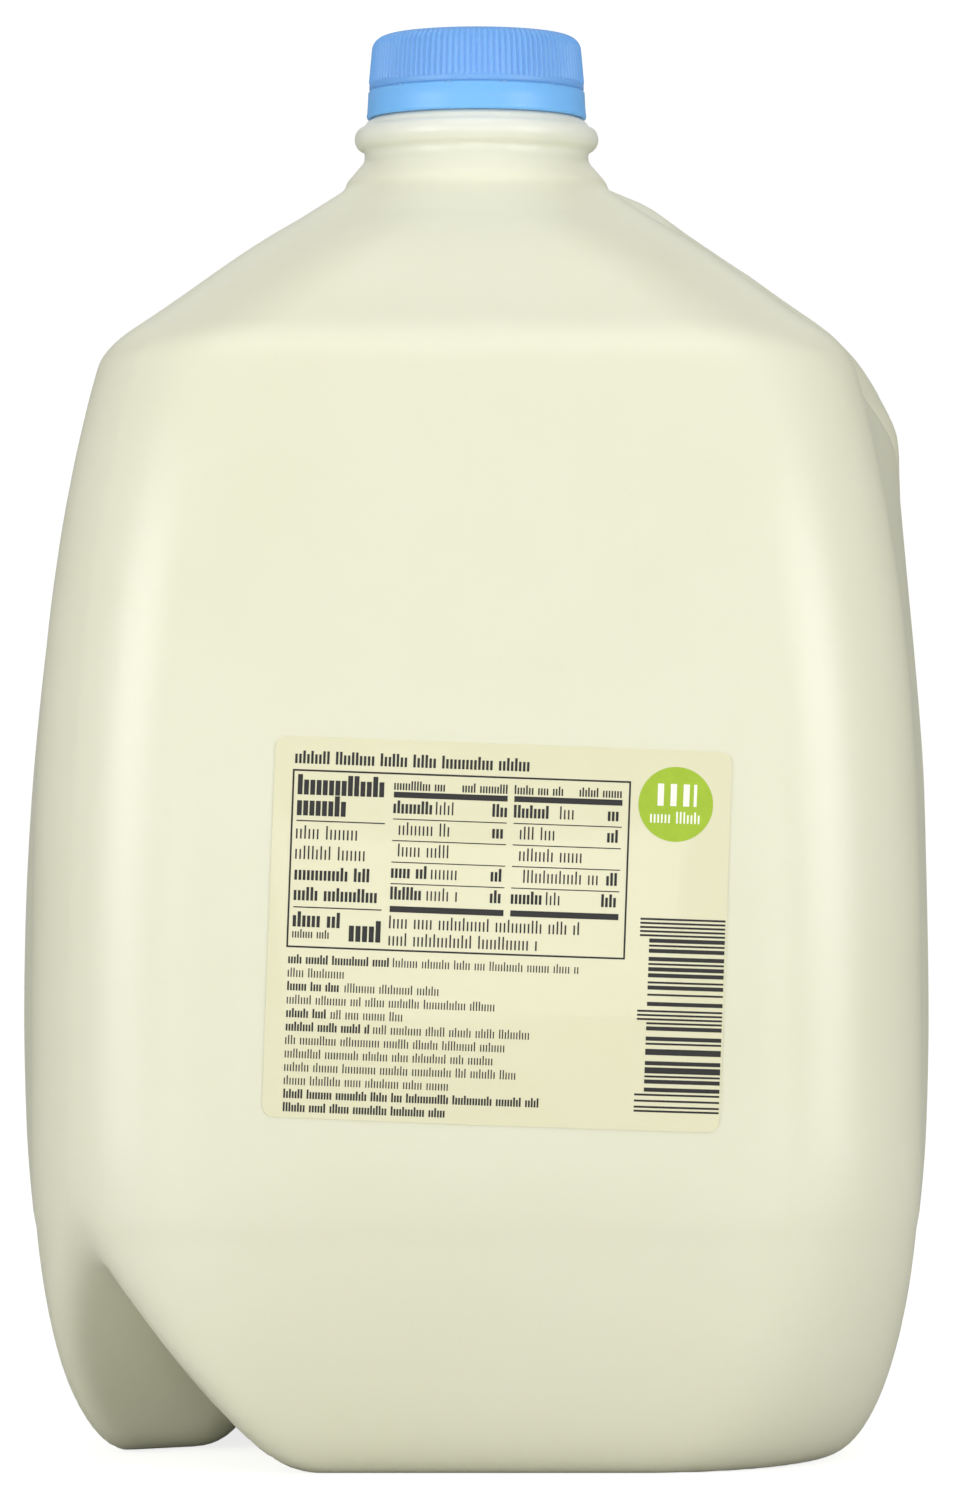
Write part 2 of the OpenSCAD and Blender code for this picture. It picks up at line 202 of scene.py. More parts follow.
@dataclass
class BottleForm:
    """The bottle's outside, as sizes and a signed field that is below zero inside.

    In the fields x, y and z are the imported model's. For the handle and the grooves, u runs out
    from the axis towards the handle's corner and v across it.
    """

    # Body: four crowned panels between rounded corners, drawn in to the shoulder's crease.
    half_width: float = 0.0745
    corner_radius: float = 0.027
    foot_corner_radius: float = 0.033
    crown: float = 0.00398
    crown_height: float = 0.076
    foot_height: float = 0.056
    foot_in: float = 0.015
    shoulder_height: float = 0.1875
    draw_in: float = 0.0114
    draw_power: float = 3.2
    crease_blend: float = 0.004
    shoulder_swell: float = 0.0015
    seam_height: float = 0.041
    seam_step: float = 0.00018
    seam_fade: float = 0.001
    # Neck: cone, stepped ledge, waist, round bead and finish.
    ledge_radius: float = 0.0227
    waist_radius: float = 0.0196
    finish_radius: float = 0.017
    neck_height: float = 0.013
    ledge_foot: float = 0.0017
    ledge_lap: float = 0.001
    ledge_rim: float = 0.0018
    ledge_slope: float = 0.0054
    cone_drop: float = 0.0056
    cone_slope: float = 1.42
    bead_out: float = 0.00175
    bead_height: float = 0.0042
    bead_gap: float = 0.0015
    neck_blend: float = 0.0016
    # Handle: a flattened tube from the neck over the knee and down to the heel.
    grip_depth: float = 0.0256
    grip_width: float = 0.034
    grip_out: float = 0.0077
    grip_inset: float = 0.0002
    grip_blend: float = 0.012
    arm_angle: float = math.radians(22.0)
    neck_angle: float = math.radians(18.0)
    arm_bend: float = 0.055
    knee_height: float = 0.181
    knee_radius: float = 0.025
    heel_radius: float = 0.018
    heel_out: float = 0.0006
    heel_drop: float = 0.009
    tail_in: float = 0.034
    tail_drop: float = 0.020
    # Finger gap behind the grip, widening outwards.
    finger_gap: float = 0.030
    gap_floor: float = 0.106
    gap_roof: float = 0.180
    gap_round: float = 0.013
    gap_half: float = 0.006
    gap_run: float = 0.075
    gap_spread: float = 0.056
    gap_side_blend: float = 0.010
    gap_blend: float = 0.008
    # Cheeks: the two panels beside the handle lean out towards the grip.
    cheek_share: float = 0.76
    cheek_reach: float = 0.0785
    cheek_most: float = 0.0115
    cheek_start: float = -0.035
    cheek_end: float = 0.035
    cheek_foot: float = 0.084
    cheek_rise: float = 0.034
    cheek_top: float = 0.195
    cheek_fall: float = 0.022
    # Pinch-off grooves under two corners, and the recess in the base.
    groove_top: float = 0.0422
    groove_slope: float = 0.511
    groove_flank: float = 1.372
    groove_round: float = 0.0028
    groove_blend: float = 0.005
    recess_half: float = 0.0425
    recess_depth: float = 0.006
    recess_draft: float = 0.5
    recess_blend: float = 0.006
    wall: float = 0.0008
    side_blend: float = 0.002
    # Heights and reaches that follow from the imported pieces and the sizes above.
    band_low: float = field(init=False)
    rim: float = field(init=False)
    side_limit: float = field(init=False)
    ledge: float = field(init=False)
    corner_reach: float = field(init=False)
    grip_reach: float = field(init=False)

    def __post_init__(self) -> None:
        """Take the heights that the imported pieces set, and what follows from the sizes."""
        self.band_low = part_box("tamper_band")[0].z
        self.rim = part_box("jug")[1].z
        self.side_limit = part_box("jug")[1].x
        self.ledge = self.band_low - self.neck_height
        self.corner_reach = (math.sqrt(2.0) * (self.half_width - self.corner_radius)
                             + self.corner_radius)
        self.grip_reach = (self.corner_reach + self.grip_out - self.grip_depth / 2.0
                           - self.grip_inset)

    def side(self, z: Array) -> Array:
        """Half width of the section.

        Args:
            z: Heights.

        Returns:
            The distance of a panel's upright edges from the axis.
        """
        z = np.clip(z, 0.0, None)
        foot_t = np.clip(1.0 - z / self.foot_height, 0.0, 1.0)
        low = self.half_width - self.foot_in * (1.0 - np.sqrt(1.0 - foot_t**2))
        rise = np.clip((z - self.foot_height) / (self.shoulder_height - self.foot_height), 0.0, 1.3)
        wall = self.half_width - self.draw_in * rise**self.draw_power
        foot, top = self.half_width - self.draw_in, self.ledge_radius + self.ledge_foot
        run = (foot - top) / (self.ledge - self.ledge_lap - self.shoulder_height)
        slope = foot - (z - self.shoulder_height) * run
        t = np.clip((z - self.shoulder_height) / (self.ledge - self.shoulder_height), 0.0, 1.0)
        slope = slope + self.shoulder_swell * t**3 * (1.0 - t) ** 1.5 / SWELL_PEAK
        upper = np.maximum(smooth_min(wall, slope, self.crease_blend), 0.002)
        return np.where(z < self.foot_height, low, upper)

    def bow(self, z: Array) -> Array:
        """How far a panel's middle stands out past its edges.

        Args:
            z: Heights.

        Returns:
            The crown at each height, greatest at the crown's own height.
        """
        below = (self.crown_height - z) / self.crown_height
        above = (z - self.crown_height) / (self.shoulder_height - self.crown_height)
        t = np.where(z < self.crown_height, below, above)
        return self.crown * np.clip(1.0 - t * t, 0.0, 1.0) ** 2

    def corner(self, half: Array, z: Array) -> Array:
        """Radius of the upright corners.

        Args:
            half: Half width of the section.
            z: Heights.

        Returns:
            The radius, wider at the foot.
        """
        low = np.clip(1.0 - z / self.foot_height, 0.0, 1.0) ** 2
        wide = self.corner_radius + (self.foot_corner_radius - self.corner_radius) * low
        return np.minimum(wide, 0.86 * half)

    def panel(self, x: Array, z: Array) -> Array:
        """The front panel's surface.

        Args:
            x: Places across the panel.
            z: Heights.

        Returns:
            The surface's distance from the axis.
        """
        half = self.side(z)
        s = x / (half - self.corner(half, z))
        return half + self.bow(z) * np.clip(1.0 - s * s, 0.0, 1.0)

    def cheek(self, along: Array, half: Array, z: Array) -> Array:
        """How far a panel beside the handle leans out towards the grip.

        Args:
            along: Places along the panel, growing towards the handle.
            half: Half width of the section.
            z: Heights.

        Returns:
            The lean, nought at the panel's far corner and above and below the handle.
        """
        t = np.clip((along - self.cheek_start) / (self.cheek_end - self.cheek_start), 0.0, 1.0)
        rise = np.clip((z - self.cheek_foot) / self.cheek_rise, 0.0, 1.0)
        fall = np.clip((self.cheek_top - z) / self.cheek_fall, 0.0, 1.0)
        height = rise * rise * (3.0 - 2.0 * rise) * fall * fall * (3.0 - 2.0 * fall)
        lean = self.cheek_share * np.clip(self.cheek_reach - half, 0.0, self.cheek_most)
        return lean * height * t * t * (3.0 - 2.0 * t)

    def _body(self, x: Array, y: Array, z: Array) -> Array:
        """Field of the body and shoulder.

        Args:
            x: Places along X.
            y: Places along Y.
            z: Heights.

        Returns:
            About the distance from the surface, below zero inside.
        """
        half = self.side(z)
        radius = self.corner(half, np.clip(z, 0.0, None))
        bow = self.bow(z)
        flat = half - radius
        ax, ay = np.abs(x), np.abs(y)
        qx = ax - flat - bow * np.clip(1.0 - (ay / flat) ** 2, 0.0, 1.0)
        qy = ay - flat - bow * np.clip(1.0 - (ax / flat) ** 2, 0.0, 1.0)
        qx = qx - np.where(x > 0.0, self.cheek(y, half, z), 0.0)
        qy = qy - np.where(y > 0.0, self.cheek(x, half, z), 0.0)
        level = (np.hypot(np.maximum(qx, 0.0), np.maximum(qy, 0.0))
                 + np.minimum(np.maximum(qx, qy), 0.0) - radius)
        seam = np.clip((self.seam_height - z) / self.seam_fade, 0.0, 1.0)
        level = level + self.seam_step * seam
        lean = (self.side(z + SIDE_STEP) - self.side(z - SIDE_STEP)) / (2.0 * SIDE_STEP)
        upper = level / np.sqrt(1.0 + lean**2)
        inner = self.half_width - self.foot_in
        out = np.maximum(level + half - inner, 0.0) / self.foot_in
        down = (self.foot_height - z) / self.foot_height
        reach = np.sqrt(out**2 + down**2)
        slope = np.sqrt((out / self.foot_in) ** 2 + (down / self.foot_height) ** 2)
        foot = (reach - 1.0) * reach / np.maximum(slope, 1e-6)
        return np.where(z < self.foot_height, foot, upper)

    def _neck(self, x: Array, y: Array, z: Array) -> Array:
        """Field of the neck, a turned outline.

        Args:
            x: Places along X.
            y: Places along Y.
            z: Heights.

        Returns:
            About the distance from the neck's surface, below zero inside.
        """
        ledge, waist = self.ledge, self.waist_radius
        heights = [ledge - self.cone_drop - 0.0015, ledge - self.cone_drop, ledge,
                   ledge + self.ledge_rim, ledge + self.ledge_slope, self.band_low - 0.0010,
                   self.band_low - 0.0005, self.band_low + 0.0006, ledge + 0.1]
        radii = [0.0200, self.ledge_radius + self.cone_drop * self.cone_slope, self.ledge_radius,
                 self.ledge_radius, waist, waist, waist - 0.0005, self.finish_radius,
                 self.finish_radius]
        radius = self._soft_outline(z, heights, radii)
        middle = self.band_low - self.bead_gap - self.bead_height / 2.0
        t = np.clip((z - middle) / (self.bead_height / 2.0), -1.0, 1.0)
        radius = radius + self.bead_out * np.sqrt(1.0 - t * t)
        neck = (np.hypot(x, y) - radius) * NECK_LEAN
        return np.maximum(neck, self.shoulder_height - z)

    @staticmethod
    def _soft_outline(z: Array, heights: list[float], radii: list[float]) -> Array:
        """A broken line, softened over half a millimetre each way.

        Args:
            z: Heights to read it at.
            heights: The line's corners.
            radii: Its radius at each corner.

        Returns:
            The softened radius.
        """
        shifts = (-0.0005, -0.00025, 0.0, 0.00025, 0.0005)
        total = np.zeros_like(z)
        for shift in shifts:
            total = total + np.interp(z + shift, heights, radii)
        return total / len(shifts)

    def _pocket(self, u: Array, v: Array, z: Array) -> Array:
        """Field of the space behind the grip.

        Args:
            u: Places outwards.
            v: Places across.
            z: Heights.

        Returns:
            About the distance from its walls, below zero in the gap.
        """
        rounding = self.gap_round
        back = self.grip_reach - self.grip_depth / 2.0 - self.finger_gap + rounding
        away = (np.array([-self.gap_spread, self.gap_run])
                / math.hypot(self.gap_spread, self.gap_run))
        side = (u - back) * away[0] + (np.abs(v) - self.gap_half) * away[1]
        plan = smooth_max(back - u, side, self.gap_side_blend)
        tall = np.maximum(self.gap_floor + rounding - z, z - (self.gap_roof - rounding))
        return (np.hypot(np.maximum(plan, 0.0), np.maximum(tall, 0.0))
                + np.minimum(np.maximum(plan, tall), 0.0) - rounding)

    def _groove(self, u: Array, v: Array, z: Array) -> Array:
        """Field of the pinch-off groove under a corner: a soft V that rises outwards.

        Args:
            u: Places outwards, towards that corner.
            v: Places across.
            z: Heights.

        Returns:
            About the distance from its flanks, below zero in the groove.
        """
        line = self.groove_top - self.groove_slope * (self.corner_reach - u)
        roof = line - self.groove_flank * np.sqrt(v * v + self.groove_round**2)
        steep = math.sqrt(1.0 + self.groove_slope**2 + self.groove_flank**2)
        return (z - roof) / steep

    def grip_path(self) -> Array:
        """Centre line of the handle in the diagonal plane.

        Returns:
            Its points from the neck to the body, as distance from the axis and height.
        """
        start = self.ledge_radius + self.cone_drop
        bend = np.array([self.arm_bend, self.knee_height
                         + (self.grip_reach - self.arm_bend) * math.tan(self.arm_angle)])
        neck_end = bend + (self.arm_bend - start) * np.array([-1.0, math.tan(self.neck_angle)])
        knee = np.array([self.grip_reach, self.knee_height])
        heel = np.array([self.grip_reach + self.heel_out, self.gap_floor - self.heel_drop])
        body_end = np.array([self.grip_reach - self.tail_in, self.gap_floor - self.tail_drop])
        return np.concatenate([
            [neck_end],
            [bend],
            self._rounded_corner(bend, knee, heel, self.knee_radius),
            self._rounded_corner(knee, heel, body_end, self.heel_radius),
            [body_end],
        ])

    @staticmethod
    def _rounded_corner(a: Array, b: Array, c: Array, radius: float) -> Array:
        """The arc that rounds the middle corner of a bent path.

        Args:
            a: The point before the corner.
            b: The corner.
            c: The point after it.
            radius: The arc's radius.

        Returns:
            Points along the arc.
        """
        to_a = (a - b) / np.linalg.norm(a - b)
        to_c = (c - b) / np.linalg.norm(c - b)
        half = math.acos(float(to_a @ to_c)) / 2.0
        middle = (to_a + to_c) / np.linalg.norm(to_a + to_c)
        centre = b + middle * radius / math.sin(half)
        first = b + to_a * radius / math.tan(half) - centre
        last = b + to_c * radius / math.tan(half) - centre
        start = math.atan2(first[1], first[0])
        sweep = (math.atan2(last[1], last[0]) - start + 3.0 * math.pi) % (2.0 * math.pi) - math.pi
        turns = start + sweep * np.linspace(0.0, 1.0, 13)
        return centre + radius * np.stack([np.cos(turns), np.sin(turns)], 1)

    def _grip(self, u: Array, v: Array, z: Array) -> Array:
        """Field of the handle tube.

        Args:
            u: Places outwards.
            v: Places across.
            z: Heights.

        Returns:
            The distance from the tube's surface, below zero inside.
        """
        path = self.grip_path()
        nearest = np.full(np.broadcast(u, v, z).shape, 1.0)
        for a, b in zip(path[:-1], path[1:]):
            along = b - a
            t = ((u - a[0]) * along[0] + (z - a[1]) * along[1]) / (along @ along)
            t = np.clip(t, 0.0, 1.0)
            gap = (u - a[0] - along[0] * t) ** 2 + (z - a[1] - along[1] * t) ** 2
            nearest = np.minimum(nearest, gap)
        across = np.maximum(np.abs(v) - (self.grip_width - self.grip_depth) / 2.0, 0.0)
        return np.sqrt(nearest + across**2) - self.grip_depth / 2.0

    def field(self, x: Array, y: Array, z: Array) -> Array:
        """The whole bottle's field.

        Args:
            x: Places along X.
            y: Places along Y.
            z: Heights.

        Returns:
            About the distance from the bottle's outside, below zero inside.
        """
        u, v = (x + y) / math.sqrt(2.0), (y - x) / math.sqrt(2.0)
        body = self._body(x, y, z)
        recess = np.maximum(
            np.maximum(np.abs(x), np.abs(y)) - self.recess_half + self.recess_draft * z,
            z - self.recess_depth)
        body = smooth_max(body, -recess, self.recess_blend)
        body = smooth_max(body, -self._pocket(u, v, z), self.gap_blend)
        body = smooth_max(body, -self._groove(-u, v, z), self.groove_blend)
        body = smooth_max(body, -self._groove(u, v, z), self.groove_blend)
        body = smooth_min(body, self._grip(u, v, z), self.grip_blend)
        body = smooth_max(body, np.maximum(x, y) - self.side_limit, self.side_blend)
        return smooth_min(body, self._neck(x, y, z), self.neck_blend)


@dataclass
class BottleSkin:
    """The bottle's smooth skin: a net on a grid, drawn onto the field's zero level."""

    form: BottleForm
    coarse: float = 0.0020
    fine: float = 0.0010
    fine_z: float = 0.0006
    margin: float = 0.003
    below: float = 0.0015
    neck_margin: float = 0.004
    neck_drop: float = 0.006
    rim_held: float = 0.003
    passes: int = 3
    longest_move: float = 0.001
    least_slope: float = 0.05

    def build(self) -> tuple[Array, Array]:
        """Make the skin.

        Returns:
            The corner positions and the quads.
        """
        reach = self.form.half_width + self.form.crown + self.margin
        middle = self.form.ledge_radius + self.neck_margin
        lines = np.unique(np.round(np.concatenate([
            np.arange(-reach, -middle, self.coarse),
            np.arange(-middle, middle, self.fine),
            np.arange(middle, reach + self.coarse, self.coarse)]), 6))
        neck_foot = self.form.ledge - self.neck_drop
        heights = np.concatenate([
            np.arange(-self.below, neck_foot, self.coarse),
            np.arange(neck_foot, self.form.rim, self.fine_z)])
        values = np.stack([
            self.form.field(lines[:, None], lines[None, :], np.full((1, 1), z))
            for z in heights], 2)
        verts, quads = surface_net(values, lines, lines, heights)
        for _ in range(self.passes):
            verts = self._draw_on(self._relax(verts, quads))
        return self._draw_on(verts), quads

    def _relax(self, verts: Array, quads: Array) -> Array:
        """Move each corner halfway to the mean of its neighbours, except at the rim.

        Args:
            verts: The corner positions.
            quads: The quads.

        Returns:
            The new positions.
        """
        ring = np.concatenate([quads, np.roll(quads, 1, 1)], 0).ravel()
        other = np.concatenate([np.roll(quads, -1, 1), quads], 0).ravel()
        count = np.bincount(ring, minlength=len(verts))
        mean = np.stack([np.bincount(ring, verts[other, k], len(verts)) for k in range(3)], 1)
        mean = mean / np.maximum(count, 1)[:, None]
        border = verts[:, 2] > self.form.rim - self.rim_held
        mean[border] = verts[border]
        return verts + 0.5 * (mean - verts)

    def slope(self, verts: Array) -> Array:
        """The field's slope.

        Args:
            verts: Where to read it, one row each.

        Returns:
            The slope along X, Y and Z, one row each.
        """
        parts = []
        for axis in range(3):
            step = np.zeros(3)
            step[axis] = FIELD_STEP
            ahead, behind = verts + step, verts - step
            rise = self.form.field(*ahead.T) - self.form.field(*behind.T)
            parts.append(rise / (2.0 * FIELD_STEP))
        return np.stack(parts, 1)

    def _draw_on(self, verts: Array) -> Array:
        """Move each corner down the slope onto the zero level.

        Args:
            verts: The corner positions.

        Returns:
            The new positions.
        """
        for _ in range(2):
            slope = self.slope(verts)
            value = self.form.field(*verts.T)
            steep = np.maximum((slope**2).sum(1), self.least_slope)
            move = value[:, None] * slope / steep[:, None]
            verts = verts - np.clip(move, -self.longest_move, self.longest_move)
        return verts


@dataclass
class Bottle:
    """The blown bottle: outer skin, even wall and open rim, with the mould's parting line."""

    skin: BottleSkin
    line_width: float = 0.0009
    line_out: float = 0.00014
    line_fade: float = 0.004

    def build(self, material: bpy.types.Material, verts: Array, quads: Array,
              normals: Array) -> bpy.types.Object:
        """Make the bottle from its skin.

        Args:
            material: The plastic.
            verts: The skin's corners.
            quads: The skin's quads.
            normals: The skin's normal at each corner.

        Returns:
            The bottle.
        """
        outer = verts + normals * self._line(verts)[:, None]
        inner = verts - normals * self.skin.form.wall
        count = len(verts)
        rim = open_edges(quads)
        strip = np.stack([rim[:, 1], rim[:, 0], rim[:, 0] + count, rim[:, 1] + count], 1)
        faces = np.concatenate([quads, quads[:, ::-1] + count, strip])
        piece = new_piece("bottle", np.concatenate([outer, inner]), faces)
        fit_piece(piece, material)
        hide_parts("jug")
        return piece

    def _line(self, verts: Array) -> Array:
        """How far the parting line stands out.

        Args:
            verts: The skin's corners.

        Returns:
            The height of the line at each, which fades out below the neck.
        """
        across = (verts[:, 1] - verts[:, 0]) / math.sqrt(2.0)
        below_neck = np.clip((self.skin.form.ledge - verts[:, 2]) / self.line_fade, 0.0, 1.0)
        return self.line_out * np.exp(-(across / self.line_width) ** 2) * below_neck


def open_edges(quads: Array) -> Array:
    """The edges that only one quad uses.

    Args:
        quads: The quads.

    Returns:
        The two corner numbers of each such edge, in its quad's direction.
    """
    edges = np.concatenate([np.stack([quads[:, k], quads[:, (k + 1) % 4]], 1) for k in range(4)])
    big = int(quads.max()) + 1
    key = edges[:, 0] * big + edges[:, 1]
    back = edges[:, 1] * big + edges[:, 0]
    return edges[~np.isin(key, back)]


@dataclass
class Milk:
    """The milk: the skin drawn in to just inside the wall, cut off level at the top."""

    inset: float = 0.00065

    def build(self, material: bpy.types.Material, verts: Array, quads: Array,
              normals: Array) -> bpy.types.Object:
        """Make the milk.

        Args:
            material: The milk's finish.
            verts: The bottle skin's corners.
            quads: The bottle skin's quads.
            normals: The bottle skin's normals.

        Returns:
            The milk.
        """
        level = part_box("milk")[1].z
        piece = new_piece("milk_fill", verts - normals * self.inset, quads)
        mesh = bmesh.new()
        mesh.from_mesh(piece.data)
        geometry = list(mesh.verts) + list(mesh.edges) + list(mesh.faces)
        cut = bmesh.ops.bisect_plane(mesh, geom=geometry, dist=1e-7, clear_outer=True,
                                     plane_co=(0.0, 0.0, level), plane_no=(0.0, 0.0, 1.0))
        rim = [edge for edge in cut["geom_cut"] if isinstance(edge, bmesh.types.BMEdge)]
        top = bmesh.ops.edgeloop_fill(mesh, edges=rim)["faces"]
        bmesh.ops.recalc_face_normals(mesh, faces=mesh.faces)
        for face in top:
            face.smooth = False
        mesh.to_mesh(piece.data)
        mesh.free()
        fit_piece(piece, material)
        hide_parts("milk")
        return piece


# ---------------------------------------------------------------- cap and tamper band


@dataclass
class Cap:
    """The push-on screw cap: ribbed skirt, rounded edge and shallow dished top."""

    rib_count: int = 110
    rib_out: float = 0.00036
    rib_foot: float = 0.0010
    edge_radius: float = 0.0026
    draft: float = 0.0005
    skirt_wall: float = 0.0012
    lid: float = 0.0012
    columns_per_rib: int = 8

    def build(self, material: bpy.types.Material) -> bpy.types.Object:
        """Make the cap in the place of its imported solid.

        Args:
            material: The cap's finish.

        Returns:
            The cap.
        """
        low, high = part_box("cap")
        outer = high.x - self.rib_out
        columns = self.rib_count * self.columns_per_rib
        turns = np.linspace(0.0, 2.0 * math.pi, columns, endpoint=False)
        wave = 0.5 + 0.5 * np.cos(turns * self.rib_count)
        rib = self.rib_out * wave**0.7
        rings = []
        for radius, z, share in self._outline(outer, low.z, high.z):
            around = radius + rib * share
            rings.append(np.stack([around * np.cos(turns), around * np.sin(turns),
                                   np.full_like(turns, z)], 1))
        verts, faces = loft_rings(rings, close_start=True, close_end=True)
        piece = new_piece("screw_cap", verts, faces)
        fit_piece(piece, material)
        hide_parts("cap")
        return piece

    def _outline(self, outer: float, low: float,
                 high: float) -> list[tuple[float, float, float]]:
        """The turned outline, from inside the lid out and over the top.

        Args:
            outer: Radius of the skirt between the ribs.
            low: Height of the skirt's foot.
            high: Height of the lid's highest ring.

        Returns:
            Radius, height and share of the rib at each ring.
        """
        inside = outer - self.skirt_wall
        roof = high - self.lid
        flush = outer + 0.8 * self.rib_out
        line = [(0.0012, roof, 0.0), (inside * 0.5, roof, 0.0), (inside - 0.0006, roof, 0.0),
                (inside - 0.0002, roof - 0.0002, 0.0), (inside, roof - 0.0006, 0.0),
                (inside, low + 0.0003, 0.0), (inside + 0.0002, low, 0.0),
                (flush - 0.0002, low, 0.0), (flush, low + 0.0002, 0.0),
                (flush, low + self.rib_foot - 0.0001, 0.0),
                (flush - 0.00005, low + self.rib_foot, 0.0),
                (outer, low + self.rib_foot + 0.0003, 0.85),
                (outer, low + self.rib_foot + 0.0006, 1.0)]
        edge = high - self.edge_radius
        rib_low = low + self.rib_foot + 0.0006
        for t in np.linspace(0.25, 1.0, 4):
            z = rib_low + (edge - rib_low) * t
            line.append((outer - self.draft * t, float(z), 1.0))
        shoulder = outer - self.draft - self.edge_radius
        for turn in np.linspace(0.0, math.pi / 2.0, 9)[1:]:
            share = max(0.0, math.cos(turn)) ** 0.5
            line.append((shoulder + self.edge_radius * math.cos(turn),
                         edge + self.edge_radius * math.sin(turn), share))
        line += [(shoulder - 0.0008, high, 0.0), (shoulder - 0.0012, high - 0.0002, 0.0),
                 (shoulder - 0.0018, high - 0.0004, 0.0), (shoulder * 0.5, high - 0.0005, 0.0),
                 (0.0022, high - 0.0005, 0.0), (0.0018, high - 0.00045, 0.0),
                 (0.0015, high - 0.0002, 0.0), (0.0008, high - 0.0001, 0.0)]
        return line


@dataclass
class TamperBand:
    """The tear-off band: a flared ring and its bridges to the cap."""

    wall: float = 0.0012
    flare: float = 0.0003
    slit: float = 0.00022
    slit_depth: float = 0.00028
    bridge_count: int = 12
    bridge_width: float = 0.0009
    columns: int = 240

    def build(self, material: bpy.types.Material) -> bpy.types.Object:
        """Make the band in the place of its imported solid.

        Args:
            material: The band's finish.

        Returns:
            The band.
        """
        low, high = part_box("tamper_band")
        foot = high.x
        head = foot - self.flare
        top = high.z - self.slit
        bottom = low.z
        turns = np.linspace(0.0, 2.0 * math.pi, self.columns, endpoint=False)
        web = head - self.slit_depth
        outline = [(head - self.wall, high.z), (web, high.z), (web, top), (head - 0.00015, top),
                   (head, top - 0.00015),
                   (head + 0.0001, (top + bottom) / 2.0), (foot - 0.0001, bottom + 0.0010),
                   (foot, bottom + 0.0005), (foot - 0.0001, bottom + 0.0001),
                   (foot - 0.0003, bottom), (foot - self.wall, bottom),
                   (head - self.wall, (top + bottom) / 2.0)]
        rings = [np.stack([r * np.cos(turns), r * np.sin(turns), np.full_like(turns, z)], 1)
                 for r, z in outline]
        verts, faces = loft_rings(rings, close_loop=True)
        parts = [(verts, [tuple(reversed(face)) for face in faces])]
        for k in range(self.bridge_count):
            parts.append(self._block(2.0 * math.pi * (k + 0.5) / self.bridge_count,
                                     web - 0.0002, head - 0.0001, top - 0.0002,
                                     high.z, self.bridge_width))
        piece = new_piece("tear_band", *join_parts(parts))
        fit_piece(piece, material)
        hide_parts("tamper_band")
        return piece

    @staticmethod
    def _block(turn: float, inner: float, outer: float, low: float, high: float,
               width: float) -> tuple[Array, list]:
        """A small block on the ring.

        Args:
            turn: Where it stands round the ring.
            inner: Its inner radius.
            outer: Its outer radius.
            low: Height of its foot.
            high: Height of its top.
            width: Its width round the ring.

        Returns:
            The corner positions and the faces.
        """
        corners = []
        side = width / 2.0
        for z in (low, high):
            for r, t in ((inner, -side), (outer, -side), (outer, side), (inner, side)):
                angle = turn + t / outer
                corners.append((r * math.cos(angle), r * math.sin(angle), z))
        faces = [(3, 2, 1, 0), (4, 5, 6, 7), (0, 1, 5, 4), (1, 2, 6, 5), (2, 3, 7, 6), (3, 0, 4, 7)]
        return np.array(corners), faces


def join_parts(parts: list[tuple[Array, list]]) -> tuple[Array, list]:
    """Put several meshes into one.

    Args:
        parts: The corner positions and the faces of each.

    Returns:
        All the corner positions and all the faces.
    """
    verts, faces, start = [], [], 0
    for part_verts, part_faces in parts:
        verts.append(part_verts)
        faces.extend(tuple(start + k for k in face) for face in part_faces)
        start += len(part_verts)
    return np.concatenate(verts), faces


# ---------------------------------------------------------------- label and print


class Ink(Enum):
    """The printed colours."""

    BLACK = "print_black"
    GREEN = "print_green"
    WHITE = "print_white"


